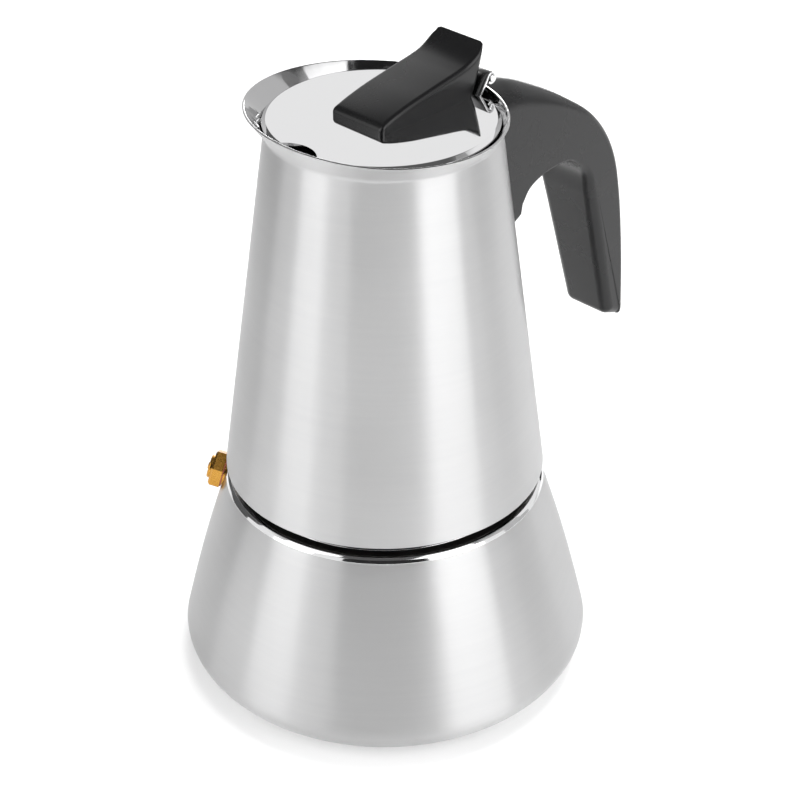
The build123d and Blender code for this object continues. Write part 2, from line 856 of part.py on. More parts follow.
pieces = {
    "boiler_shell": make_boiler_shell(),
    "boiler_collar": make_boiler_collar(),
    "valve_body": make_valve_body(),
    "valve_cap": make_valve_cap(),
    "valve_pin": make_valve_pin(),
    "valve_spring": make_valve_spring(),
    "valve_nut": make_valve_nut(),
    "valve_washer": make_valve_washer(),
    "funnel_bowl": make_funnel_bowl(),
    "funnel_stem": make_funnel_stem(),
    "funnel_screen": make_funnel_screen(),
    "gasket": make_gasket(),
    "filter_plate": make_filter_plate(),
    "jug_shell": make_jug_shell(),
    "jug_base": make_jug_base(),
    "column": make_column(),
    "column_cap": make_column_cap(),
    "hinge_bracket": make_hinge_bracket(),
    "hinge_pin": make_hinge_pin(),
    "handle_bracket": make_handle_bracket(),
    "handle_screw": make_handle_screw(),
    "handle_washer": make_handle_washer(),
    "handle": make_handle(),
    "lid": make_lid(),
    "knob": make_knob(),
    "knob_washer": make_knob_washer(),
    "knob_screw": make_knob_screw(),
}

os.makedirs("parts", exist_ok=True)
for name, piece in pieces.items():
    piece.part.label = name
    export_step(piece.part, f"parts/{name}.step")
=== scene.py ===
import json
import math

import bmesh
import bpy
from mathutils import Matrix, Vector


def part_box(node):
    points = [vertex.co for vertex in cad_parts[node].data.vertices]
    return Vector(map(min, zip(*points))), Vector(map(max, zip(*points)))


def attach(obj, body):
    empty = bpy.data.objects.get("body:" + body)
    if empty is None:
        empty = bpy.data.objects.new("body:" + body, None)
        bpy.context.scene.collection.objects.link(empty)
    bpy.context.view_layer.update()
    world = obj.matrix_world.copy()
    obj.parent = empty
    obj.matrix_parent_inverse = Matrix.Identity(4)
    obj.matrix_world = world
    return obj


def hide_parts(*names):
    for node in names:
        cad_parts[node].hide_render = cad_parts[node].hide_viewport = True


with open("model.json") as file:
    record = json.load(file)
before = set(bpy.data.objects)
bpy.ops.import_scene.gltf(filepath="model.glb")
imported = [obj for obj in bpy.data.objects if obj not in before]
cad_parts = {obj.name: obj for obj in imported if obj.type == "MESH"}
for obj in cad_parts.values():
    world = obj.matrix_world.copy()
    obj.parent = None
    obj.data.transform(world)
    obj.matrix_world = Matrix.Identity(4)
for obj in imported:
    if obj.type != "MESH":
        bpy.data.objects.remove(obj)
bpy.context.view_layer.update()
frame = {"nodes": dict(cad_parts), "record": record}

# Moka pot: +Z up, handle on +X, pouring lip on -X, floor at Z = 0.
# Outlines are written in millimetres and turned into metres by welded_mesh.
MM = 0.001
WELD_GAP = 1e-7
AROUND = 192
FINE_AROUND = 256
COARSE_AROUND = 96

# ---- sizes read from the frame, in millimetres
shell_high = Vector(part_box("boiler_shell")[1]) / MM
collar_high = Vector(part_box("boiler_collar")[1]) / MM
jug_low, jug_high = [Vector(corner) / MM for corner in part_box("jug_shell")]
base_low, base_high = [Vector(corner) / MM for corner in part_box("jug_base")]
column_low, column_high = [Vector(corner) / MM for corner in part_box("column")]
knob_low = Vector(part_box("knob")[0]) / MM
pin_low, pin_high = [Vector(corner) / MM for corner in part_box("hinge_pin")]

BASE_RADIUS = shell_high.x
BEAD_RADIUS = collar_high.x
NECK_TOP = collar_high.z
SHELL_TOP = shell_high.z
JUG_BOTTOM = jug_low.z
JUG_BOTTOM_RADIUS = jug_high.x
HINGE_X = (pin_low.x + pin_high.x) / 2
HINGE_Z = (pin_low.z + pin_high.z) / 2
LID_TOP = knob_low.z

# ---- shape facts that the frame's boxes don't give, in millimetres
FLOOR_RADIUS = 38.8
BASE_ROUND = 8.8
CONE_TOP_RADIUS = 27.35
CONE_TOP_Z = 146.4
LIP_START = 145.4
BEND_Z = 146.9
RIM_RADIUS = 30.1
RIM_Z = 151.25
RIM_SHIFT = 1.85
RIM_WIDTH = 1.3
RIM_FULLNESS = 0.6
RIM_SLOPE = 0.02
WALL = 0.7
SHEET = 0.6
TAB_FOOT_X = 22.6
TAB_HALF_WIDTH = 9.4
ARM_HALF_WIDTH = 10.2
ARM_TOP_Z = 152.0
GRIP_HALF_WIDTH = 7.5
GRIP_END_Z = 64.0

# ---- the handle's edges: the line between its upper and lower side as (x, z), then radius by x
ARM_MIDDLE = [(24, 125), (40, 130), (55, 128), (64, 118), (72, 95), (79, 80), (84, 60)]
UPPER_EDGE = [(18, 0.5), (27, 7.5), (33, 7.0), (40, 5.8), (47, 4.2), (55, 2.6), (62, 1.8), (70, 1.5)]
ARCH_EDGE = [(39, 0.5), (44, 0.8), (60, 1.2)]
GRIP_EDGE = [(60, 1.2), (64, 2.4), (68, 2.8)]
GRIP_EDGE_X = 60


# ------------------------------------------------------------------ meshes
def rounded(corners, radii, steps=6):
    """The closed outline with each corner replaced by a smooth curve about as wide as its radius."""
    nearly_straight = math.radians(178)
    outline = []
    count = len(corners)
    for index, corner in enumerate(corners):
        radius = radii[index]
        here = Vector(corner)
        before = Vector(corners[index - 1]) - here
        after = Vector(corners[(index + 1) % count]) - here
        turn = before.angle(after)
        if radius <= 0 or turn > nearly_straight:
            outline.append(here)
            continue
        reach = min(radius / math.tan(turn / 2), before.length * 0.49, after.length * 0.49)
        start = here + before.normalized() * reach
        end = here + after.normalized() * reach
        for step in range(steps + 1):
            share = step / steps
            near = start.lerp(here, share)
            far = here.lerp(end, share)
            outline.append(near.lerp(far, share))
    return outline


def welded_mesh(name, verts, faces):
    """A mesh in metres from millimetre points, its doubled points joined and its faces turned out."""
    mesh = bpy.data.meshes.new(name)
    mesh.from_pydata([Vector(v) * MM for v in verts], [], faces)
    work = bmesh.new()
    work.from_mesh(mesh)
    bmesh.ops.remove_doubles(work, verts=work.verts, dist=WELD_GAP)
    bmesh.ops.recalc_face_normals(work, faces=work.faces)
    work.to_mesh(mesh)
    work.free()
    return mesh


def add_mesh(name, verts, faces, material, body, slot, replaces=(), sharp=35):
    """A piece: its mesh, material, smooth shading, body and the CAD nodes it stands for. The slot argument is
    not used.
    """
    mesh = welded_mesh(name, verts, faces)
    piece = bpy.data.objects.new(name, mesh)
    bpy.context.scene.collection.objects.link(piece)
    mesh.materials.append(material)
    shade(mesh, sharp)
    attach(piece, body)
    if replaces:
        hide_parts(*replaces)
    return piece


def shade(mesh, sharp):
    """Smooth shading, except at edges that turn by more than an angle in degrees."""
    mesh.shade_smooth()
    mesh.set_sharp_from_angle(angle=math.radians(sharp))


def lathe(outline, around=AROUND, bend=None):
    """Points and faces of a closed (radius, height) outline turned about Z."""
    verts = []
    faces = []
    count = len(outline)
    for turn in range(around):
        angle = 2 * math.pi * turn / around
        for radius, height in outline:
            point = Vector((radius * math.cos(angle), radius * math.sin(angle), height))
            verts.append(bend(point) if bend else point)
        following = (turn + 1) % around
        for index in range(count):
            next_index = (index + 1) % count
            faces.append((
                turn * count + index,
                following * count + index,
                following * count + next_index,
                turn * count + next_index,
            ))
    return verts, faces


def prism(outline, half_width):
    """Points and faces of an (x, z) outline extruded to both sides of Y = 0."""
    count = len(outline)
    verts = [(x, -half_width, z) for x, z in outline] + [(x, half_width, z) for x, z in outline]
    faces = [tuple(range(count)), tuple(range(2 * count - 1, count - 1, -1))]
    for index in range(count):
        next_index = (index + 1) % count
        faces.append((index, index + count, next_index + count, next_index))
    return verts, faces


def spline(points, steps=8):
    """Catmull-Rom curve through 2-D points."""
    padded = [2 * Vector(points[0]) - Vector(points[1])] + [Vector(p) for p in points]
    padded.append(2 * padded[-1] - padded[-2])
    curve = []
    for index in range(1, len(padded) - 2):
        before, start, end, after = padded[index - 1:index + 3]
        for step in range(steps):
            t = step / steps
            curve.append(0.5 * (
                2 * start + (end - before) * t
                + (2 * before - 5 * start + 4 * end - after) * t ** 2
                + (3 * start - before - 3 * end + after) * t ** 3
            ))
    curve.append(padded[-2])
    return curve


def circle(centre_x, radius, count):
    """Points (x, y) of a circle about a centre on the X axis."""
    angles = [2 * math.pi * step / count for step in range(count)]
    return [(centre_x + radius * math.cos(angle), radius * math.sin(angle)) for angle in angles]


def rectangle(low_x, high_x, half_width):
    """Points (x, y) of a rectangle about the X axis."""
    return [(low_x, -half_width), (high_x, -half_width), (high_x, half_width), (low_x, half_width)]


def throwaway(verts, faces):
    """A bare object that only serves to cut others."""
    piece = bpy.data.objects.new("cutter", welded_mesh("cutter", verts, faces))
    bpy.context.scene.collection.objects.link(piece)
    return piece


def post(outline, low, high):
    """Throw-away upright prism from an (x, y) outline."""
    count = len(outline)
    verts = [(x, y, low) for x, y in outline] + [(x, y, high) for x, y in outline]
    faces = [tuple(range(count)), tuple(range(2 * count - 1, count - 1, -1))]
    for index in range(count):
        following = (index + 1) % count
        faces.append((index, following, following + count, index + count))
    return throwaway(verts, faces)


def bake_modifiers(piece):
    """Replaces a piece's mesh by what its modifiers make of it."""
    depsgraph = bpy.context.evaluated_depsgraph_get()
    result = bpy.data.meshes.new_from_object(piece.evaluated_get(depsgraph))
    piece.modifiers.clear()
    old = piece.data
    piece.data = result
    result.name = old.name
    bpy.data.meshes.remove(old)


def cut(piece, cutters):
    """Cuts a piece with throw-away objects and keeps the result in its mesh."""
    for cutter in cutters:
        modifier = piece.modifiers.new("cut", "BOOLEAN")
        modifier.operation = "DIFFERENCE"
        modifier.solver = "EXACT"
        modifier.object = cutter
        bake_modifiers(piece)
        bpy.data.objects.remove(cutter)


def bevel(piece, width):
    """Rounds a piece's sharp edges and keeps the result in its mesh."""
    sharp = 50
    modifier = piece.modifiers.new("round", "BEVEL")
    modifier.width = width * MM
    modifier.segments = 2
    modifier.limit_method = "ANGLE"
    modifier.angle_limit = math.radians(sharp)
    modifier.harden_normals = False
    bake_modifiers(piece)
    shade(piece.data, sharp)


def even_normals(piece):
    """Face-weighted normals, so flat sides stay flat beside their rounded edges."""
    modifier = piece.modifiers.new("normals", "WEIGHTED_NORMAL")
    modifier.keep_sharp = True
    bake_modifiers(piece)


def between(pairs, value):
    """Straight-line look-up in sorted (value, result) pairs."""
    if value <= pairs[0][0]:
        return pairs[0][1]
    for (low, start), (high, end) in zip(pairs, pairs[1:]):
        if value <= high:
            return start + (end - start) * (value - low) / (high - low)
    return pairs[-1][1]


# --------------------------------------------------------------- materials
def new_material(name):
    """An empty node material: its node tree and its principled shader."""
    material = bpy.data.materials.new(name)
    material.use_nodes = True
    tree = material.node_tree
    tree.nodes.clear()
    output = tree.nodes.new("ShaderNodeOutputMaterial")
    shader = tree.nodes.new("ShaderNodeBsdfPrincipled")
    tree.links.new(shader.outputs["BSDF"], output.inputs["Surface"])
    return material, tree, shader


def new_metal(name):
    """The same as new_material, set to metal."""
    material, tree, shader = new_material(name)
    shader.inputs["Metallic"].default_value = 1.0
    return material, tree, shader


def noise(tree, vector, scale, detail):
    """A noise texture read at a vector socket."""
    node = tree.nodes.new("ShaderNodeTexNoise")
    node.inputs["Scale"].default_value = scale
    node.inputs["Detail"].default_value = detail
    node.inputs["Roughness"].default_value = 0.55
    tree.links.new(vector, node.inputs["Vector"])
    return node.outputs["Fac"]


def tint(tree, shader, value, dark, light):
    """Base colour between two, chosen by a 0 to 1 value."""
    node = tree.nodes.new("ShaderNodeMix")
    node.data_type = "RGBA"
    node.inputs["A"].default_value = (*dark, 1)
    node.inputs["B"].default_value = (*light, 1)
    tree.links.new(value, node.inputs["Factor"])
    tree.links.new(node.outputs["Result"], shader.inputs["Base Color"])


def roughen(tree, shader, value, low, high):
    """Roughness between two, where a noise value runs from 0.25 to 0.75."""
    node = tree.nodes.new("ShaderNodeMapRange")
    node.inputs["From Min"].default_value = 0.25
    node.inputs["From Max"].default_value = 0.75
    node.inputs["To Min"].default_value = low
    node.inputs["To Max"].default_value = high
    tree.links.new(value, node.inputs["Value"])
    tree.links.new(node.outputs["Result"], shader.inputs["Roughness"])


def bump(tree, shader, height, strength, distance):
    """Bump from a height value, distance in millimetres."""
    node = tree.nodes.new("ShaderNodeBump")
    node.inputs["Strength"].default_value = strength
    node.inputs["Distance"].default_value = distance * MM
    tree.links.new(height, node.inputs["Height"])
    tree.links.new(node.outputs["Normal"], shader.inputs["Normal"])


def object_place(tree):
    """The point's place in the row frame, in metres."""
    return tree.nodes.new("ShaderNodeTexCoord").outputs["Object"]


def vector_step(tree, operation, *sources):
    """A vector maths node with its first inputs fed by sockets."""
    node = tree.nodes.new("ShaderNodeVectorMath")
    node.operation = operation
    for source, socket in zip(sources, node.inputs):
        tree.links.new(source, socket)
    return node


def around_axis(tree, along_turn, along_height):
    """A place that runs slowly round the Z axis and faster up it, for turned and brushed metal."""
    place = object_place(tree)
    flat = vector_step(tree, "MULTIPLY", place)
    flat.inputs[1].default_value = (1, 1, 0)
    unit = vector_step(tree, "NORMALIZE", flat.outputs["Vector"])
    ring = vector_step(tree, "SCALE", unit.outputs["Vector"])
    ring.inputs["Scale"].default_value = along_turn
    rise = vector_step(tree, "MULTIPLY", place)
    rise.inputs[1].default_value = (0, 0, along_height)
    total = vector_step(tree, "ADD", ring.outputs["Vector"], rise.outputs["Vector"])
    return total.outputs["Vector"]


def round_tangent(tree, shader, strength):
    """Brushing that runs round the Z axis."""
    tangent = tree.nodes.new("ShaderNodeTangent")
    tangent.direction_type = "RADIAL"
    tangent.axis = "Z"
    tree.links.new(tangent.outputs["Tangent"], shader.inputs["Tangent"])
    shader.inputs["Anisotropic"].default_value = strength
    shader.inputs["Anisotropic Rotation"].default_value = 0.25


def satin_steel():
    """Outside of boiler and jug: fine satin, brushed round the axis."""
    material, tree, shader = new_metal("satin_steel")
    round_tangent(tree, shader, strength=1.0)
    lines = noise(tree, around_axis(tree, along_turn=1.5, along_height=900.0), scale=1.0, detail=2.0)
    clouds = noise(tree, object_place(tree), scale=24.0, detail=2.0)
    tint(tree, shader, lines, dark=(0.515, 0.515, 0.52), light=(0.545, 0.545, 0.545))
    roughen(tree, shader, clouds, low=0.33, high=0.37)
    bump(tree, shader, lines, strength=0.05, distance=0.001)
    return material


def polished_steel():
    """Bead, hinge strap and hinge pin: bright polish with faint waviness."""
    material, tree, shader = new_metal("polished_steel")
    shader.inputs["Base Color"].default_value = (0.76, 0.76, 0.765, 1)
    ripple = noise(tree, object_place(tree), scale=260.0, detail=2.0)
    roughen(tree, shader, ripple, low=0.05, high=0.09)
    bump(tree, shader, ripple, strength=0.12, distance=0.02)
    return material


def pressed_steel():
    """Inside of the flared lip: polished, with the waves that pressing leaves."""
    material, tree, shader = new_metal("pressed_steel")
    shader.inputs["Base Color"].default_value = (0.42, 0.42, 0.423, 1)
    waves = noise(tree, around_axis(tree, along_turn=2.6, along_height=60.0), scale=1.0, detail=2.0)
    roughen(tree, shader, waves, low=0.06, high=0.12)
    bump(tree, shader, waves, strength=0.6, distance=1.2)
    return material


def neck_shade_steel():
    """Threaded neck: dull steel tinted near black as painted shade, standing in for the shadow in the recess
    under the jug.
    """
    material, tree, shader = new_metal("neck_shade_steel")
    neck_shade = noise(tree, object_place(tree), scale=180.0, detail=3.0)
    # near-black tint: painted shade of the recess between boiler and jug
    tint(tree, shader, neck_shade, dark=(0.03, 0.03, 0.03), light=(0.06, 0.058, 0.055))
    roughen(tree, shader, neck_shade, low=0.4, high=0.55)
    bump(tree, shader, neck_shade, strength=0.2, distance=0.01)
    return material


def mirror_steel():
    """Lid: mirror polish with a trace of orange peel."""
    material, tree, shader = new_metal("mirror_steel")
    shader.inputs["Base Color"].default_value = (0.76, 0.76, 0.765, 1)
    peel = noise(tree, object_place(tree), scale=420.0, detail=2.0)
    roughen(tree, shader, peel, low=0.025, high=0.05)
    bump(tree, shader, peel, strength=0.05, distance=0.01)
    return material


def inner_steel():
    """Drawn inside surfaces: duller steel with turning marks."""
    material, tree, shader = new_metal("inner_steel")
    round_tangent(tree, shader, strength=0.4)
    marks = noise(tree, around_axis(tree, along_turn=5.0, along_height=1400.0), scale=1.0, detail=3.0)
    stains = noise(tree, object_place(tree), scale=60.0, detail=4.0)
    tint(tree, shader, stains, dark=(0.48, 0.47, 0.46), light=(0.6, 0.6, 0.6))
    roughen(tree, shader, marks, low=0.28, high=0.4)
    bump(tree, shader, marks, strength=0.3, distance=0.01)
    return material


def fastener_steel():
    """Screws, their washers and the valve's spring."""
    material, tree, shader = new_metal("fastener_steel")
    grain = noise(tree, object_place(tree), scale=900.0, detail=3.0)
    tint(tree, shader, grain, dark=(0.42, 0.42, 0.43), light=(0.58, 0.58, 0.58))
    roughen(tree, shader, grain, low=0.22, high=0.36)
    bump(tree, shader, grain, strength=0.2, distance=0.01)
    return material


def valve_brass():
    """Turned brass with fine machining marks and a little tarnish; its colour is darkened as painted shade
    for the dark ceiling its top facets reflect.
    """
    material, tree, shader = new_metal("valve_brass")
    tarnish_and_shade = noise(tree, object_place(tree), scale=320.0, detail=4.0)
    marks = noise(tree, object_place(tree), scale=2400.0, detail=2.0)
    # both colours sit well below bare brass: painted shade standing in for the dark reflection in the top
    # facets
    tint(tree, shader, tarnish_and_shade, dark=(0.42, 0.2, 0.035), light=(0.6, 0.33, 0.07))
    roughen(tree, shader, marks, low=0.18, high=0.34)
    bump(tree, shader, marks, strength=0.25, distance=0.01)
    return material


def moulded_plastic(name, colour, gloss, low_rough, high_rough, grain_height):
    """Black moulded plastic with a fine spark-eroded grain."""
    material, tree, shader = new_material(name)
    shader.inputs["Specular IOR Level"].default_value = gloss
    grain = noise(tree, object_place(tree), scale=1000.0, detail=2.0)
    wear = noise(tree, object_place(tree), scale=70.0, detail=4.0)
    lighter = tuple(channel * 1.25 for channel in colour)
    tint(tree, shader, wear, dark=colour, light=lighter)
    roughen(tree, shader, wear, low=low_rough, high=high_rough)
    bump(tree, shader, grain, strength=0.12, distance=grain_height)
    return material


def soft_ring(name, dark, light, rough):
    """Silicone or fibre: matt, slightly mottled."""
    material, tree, shader = new_material(name)
    mottle = noise(tree, object_place(tree), scale=500.0, detail=4.0)
    tint(tree, shader, mottle, dark, light)
    roughen(tree, shader, mottle, low=rough - 0.05, high=rough + 0.08)
    bump(tree, shader, mottle, strength=0.3, distance=0.02)
    return material


SATIN = satin_steel()
POLISHED = polished_steel()
PRESSED = pressed_steel()
NECK_SHADE = neck_shade_steel()
MIRROR = mirror_steel()
INNER = inner_steel()
FASTENER = fastener_steel()
BRASS = valve_brass()
HANDLE_PLASTIC = moulded_plastic(
    "black_plastic", (0.007, 0.007, 0.0074), gloss=0.32, low_rough=0.24, high_rough=0.31, grain_height=0.005,
)
KNOB_PLASTIC = moulded_plastic(
    "knob_plastic", (0.004, 0.004, 0.0043), gloss=0.42, low_rough=0.22, high_rough=0.3, grain_height=0.004,
)
SILICONE = soft_ring("silicone", (0.72, 0.72, 0.7), (0.84, 0.84, 0.82), rough=0.55)
FIBRE = soft_ring("valve_fibre", (0.25, 0.05, 0.03), (0.4, 0.12, 0.08), rough=0.75)


# ------------------------------------------------------------------ boiler
def boiler_side(inset):
    """Outer or inner line of the boiler, from the floor's centre up to the top edge."""
    top_set_back = 0.4
    bulge = 0.6
    round_steps = 12
    side_steps = 24
    foot = Vector((BASE_RADIUS - inset, BASE_ROUND))
    head = Vector((BEAD_RADIUS - top_set_back - inset, SHELL_TOP))
    across = Vector((head.y - foot.y, foot.x - head.x)).normalized()
    line = [Vector((0, inset)), Vector((FLOOR_RADIUS, inset))]
    for step in range(1, round_steps + 1):
        angle = math.pi / 2 * step / round_steps
        line.append(Vector((
            FLOOR_RADIUS + (BASE_RADIUS - FLOOR_RADIUS - inset) * math.sin(angle),
            BASE_ROUND - (BASE_ROUND - inset) * math.cos(angle),
        )))
    for step in range(1, side_steps + 1):
        share = step / side_steps
        line.append(foot.lerp(head, share) + across * bulge * math.sin(math.pi * share))
    return line


def make_boiler():
    """Vessel, then the ring on it with its bead and neck, a near-black sheet round the neck as painted shade
    in the gap under the jug, and its thread.
    """
    wall = 0.9
    top_edge_gap = 0.12
    outer = boiler_side(0)
    outer[-1] = outer[-1] - Vector((top_edge_gap, 0.0))
    outline = outer + boiler_side(wall)[::-1]
    add_mesh("boiler_body", *lathe(outline), SATIN, "boiler", "satin_steel", ["boiler_shell"])

    neck = 36.0
    bore = 35.0
    ledge = SHELL_TOP + 1.25
    corners = [
        (bore, SHELL_TOP), (BEAD_RADIUS - 0.1, SHELL_TOP), (BEAD_RADIUS, SHELL_TOP + 0.15),
        (BEAD_RADIUS - 0.45, SHELL_TOP + 0.8), (BEAD_RADIUS - 1.0, ledge),
        (neck, ledge), (neck, NECK_TOP), (bore, NECK_TOP),
    ]
    ring = lathe(rounded(corners, [0, 0, 0.12, 0.6, 0.3, 0.25, 0.3, 0.3]))
    add_mesh("boiler_collar_ring", *ring, POLISHED, "boiler", "polished_steel", ["boiler_collar"])

    root = neck - 0.1
    skin = 0.02
    shade_reach = neck + 2.2
    shade_top = NECK_TOP - 0.4
    # near-black sheet on the ledge and up the neck: painted shade that darkens and widens the gap under the
    # jug
    neck_shade = [
        (root, ledge - 0.1), (shade_reach, ledge - 0.1), (shade_reach, ledge + skin),
        (neck + skin, ledge + skin), (neck + skin, shade_top), (root, shade_top),
    ]
    add_mesh("neck_shade_sheet", *lathe([Vector(p) for p in neck_shade]), NECK_SHADE, "boiler", "polished_steel")
    # the thread also takes the near-black painted shade
    ridge = helix_ridge(neck, start_z=55.6, end_z=64.6, pitch=3.0, height=0.2, width=0.9)
    add_mesh("neck_thread", *ridge, NECK_SHADE, "boiler", "polished_steel")


def helix_ridge(radius, start_z, end_z, pitch, height, width):
    """A thread's ridge: a low rounded strip that climbs round a cylinder and fades at both ends."""
    fade_steps = 12
    sink = 0.1
    section = [(-0.3, -0.5), (0.4, -0.42), (1.0, -0.16), (1.0, 0.16), (0.4, 0.42), (-0.3, 0.5)]
    count = len(section)
    turns = (end_z - start_z) / pitch
    steps = int(turns * COARSE_AROUND)
    verts = []
    faces = []
    for step in range(steps + 1):
        angle = 2 * math.pi * step / COARSE_AROUND
        fade = min(1.0, step / fade_steps, (steps - step) / fade_steps)
        for out, up in section:
            r = radius + out * height * fade - (1 - fade) * sink
            z = start_z + pitch * step / COARSE_AROUND + up * width
            verts.append((r * math.cos(angle), r * math.sin(angle), z))
        if step < steps:
            for index in range(count):
                following = (index + 1) % count
                faces.append((
                    step * count + index, step * count + following,
                    (step + 1) * count + following, (step + 1) * count + index,
                ))
    faces.append(tuple(range(count - 1, -1, -1)))
    faces.append(tuple(range(steps * count, (steps + 1) * count)))
    return verts, faces


# --------------------------------------------------------------------- jug
def lip_bend(point):
    """Draws the round lip out to its rim's real shape: narrow at the hinge, wide, raised at the spout."""
    share = max(0.0, (point.z - CONE_TOP_Z) / (RIM_Z - CONE_TOP_Z))
    turn = math.atan2(point.y, point.x)
    extra = -RIM_SHIFT * math.cos(turn) - RIM_WIDTH * math.cos(2 * turn) + RIM_FULLNESS * math.cos(3 * turn)
    radius = math.hypot(point.x, point.y) + extra * share
    x = radius * math.cos(turn)
    return Vector((x, radius * math.sin(turn), point.z - RIM_SLOPE * share * x))


def cone_radius(z):
    """Outer radius of the jug's cone."""
    share = (z - JUG_BOTTOM) / (CONE_TOP_Z - JUG_BOTTOM)
    return JUG_BOTTOM_RADIUS + (CONE_TOP_RADIUS - JUG_BOTTOM_RADIUS) * share


def make_jug():
    """Cone, lip in two layers that meet inside the sheet, floor ring and riser column."""
    lip_foot = cone_radius(LIP_START)
    corners = [
        (JUG_BOTTOM_RADIUS - WALL, JUG_BOTTOM), (JUG_BOTTOM_RADIUS, JUG_BOTTOM),
        (lip_foot, LIP_START), (lip_foot - WALL, LIP_START),
    ]
    outline = rounded(corners, [0.25, 0.3, 0, 0])
    add_mesh("jug_body", *lathe(outline), SATIN, "jug", "satin_steel", ["jug_shell"])

    bend = cone_radius(BEND_Z)
    half = WALL / 2
    bend_round = 2.2
    rim_round = 1.5
    middle_foot = (lip_foot - half, LIP_START)
    middle_bend = (bend - half, BEND_Z + 0.2)
    middle_rim = (RIM_RADIUS - 1.0, RIM_Z - 1.0)
    corners = [
        (lip_foot, LIP_START), (bend, BEND_Z), (RIM_RADIUS - 0.65, RIM_Z - 1.1),
        (RIM_RADIUS - 0.05, RIM_Z - 0.1), (RIM_RADIUS - 0.3, RIM_Z - 0.05),
        middle_rim, middle_bend, middle_foot,
    ]
    outline = rounded(corners, [0, bend_round, rim_round, 0, 0, rim_round, bend_round, 0])
    skin = lathe(outline, FINE_AROUND, lip_bend)
    add_mesh("lip_skin", *skin, SATIN, "jug", "satin_steel", ["jug_shell"])
    corners = [
        middle_foot, middle_bend, middle_rim,
        (RIM_RADIUS - 0.3, RIM_Z - 0.15), (RIM_RADIUS + 0.03, RIM_Z - 0.12),
        (RIM_RADIUS + 0.03, RIM_Z + 0.1), (RIM_RADIUS - 0.45, RIM_Z + 0.25),
        (RIM_RADIUS - 1.3, RIM_Z - 0.85), (bend - 0.72, BEND_Z + 0.4), (lip_foot - WALL, LIP_START),
    ]
    outline = rounded(corners, [0, bend_round, rim_round, 0, 0.1, 0.15, 0.25, rim_round, bend_round, 0])
    lining = lathe(outline, FINE_AROUND, lip_bend)
    add_mesh("lip_lining", *lining, PRESSED, "jug", "polished_steel", ["jug_shell"])

    floor_top = base_high.z
    floor_under = floor_top - 0.9
    skirt = base_low.z
    thread = 36.3
    column_hole = 9.0
    wall_gap = 0.02
    corners = [
        (thread, skirt), (cone_radius(skirt) - WALL - wall_gap, skirt),
        (cone_radius(floor_top) - WALL - wall_gap, floor_top),
        (column_hole, floor_top), (column_hole, floor_under), (thread, floor_under),
    ]
    floor = lathe(rounded(corners, [0.4, 0.2, 0.2, 0, 0, 0.3]))
    add_mesh("jug_floor", *floor, INNER, "jug", "inner_steel", ["jug_base"])

    flare_top = column_low.z + 5
    corners = [
        (8.4, column_low.z), (9.0, column_low.z), (6.8, flare_top), (6.0, column_high.z),
        (5.4, column_high.z), (6.2, flare_top),
    ]
    outline = rounded(corners, [0.1, 0.2, 4, 0.2, 0.2, 4])
    add_mesh("riser_column", *lathe(outline, COARSE_AROUND), INNER, "jug", "inner_steel", ["column"])


# ------------------------------------------------------------ lid and hinge
def sheet_strip(path, thickness):
    """Closed outline of a sheet whose middle follows an (x, z) path."""
    left = []
    right = []
    for index, point in enumerate(path):
        ahead = path[min(index + 1, len(path) - 1)] - path[max(index - 1, 0)]
        side = Vector((-ahead.y, ahead.x)).normalized() * (thickness / 2)
        left.append(point + side)
        right.append(point - side)
    return left + right[::-1]


def roll(foot, centre, radius, wrap, clockwise):
    """Path from a foot that runs tangent onto a circle and on round it, by a wrap in degrees."""
    straight_steps = 6
    round_steps = 36
    away = centre - foot
    distance = away.length
    spread_angle = math.asin(radius / distance)
    turn = spread_angle if clockwise else -spread_angle
    heading = Vector((
        away.x * math.cos(turn) - away.y * math.sin(turn),
        away.x * math.sin(turn) + away.y * math.cos(turn),
    )).normalized()
    reach = math.sqrt(distance ** 2 - radius ** 2)
    touch = foot + heading * reach
    path = [foot.lerp(touch, step / straight_steps) for step in range(straight_steps)]
    start = math.atan2(touch.y - centre.y, touch.x - centre.x)
    for step in range(round_steps + 1):
        angle = start + (-1 if clockwise else 1) * math.radians(wrap) * step / round_steps
        path.append(centre + Vector((math.cos(angle), math.sin(angle))) * radius)
    return path


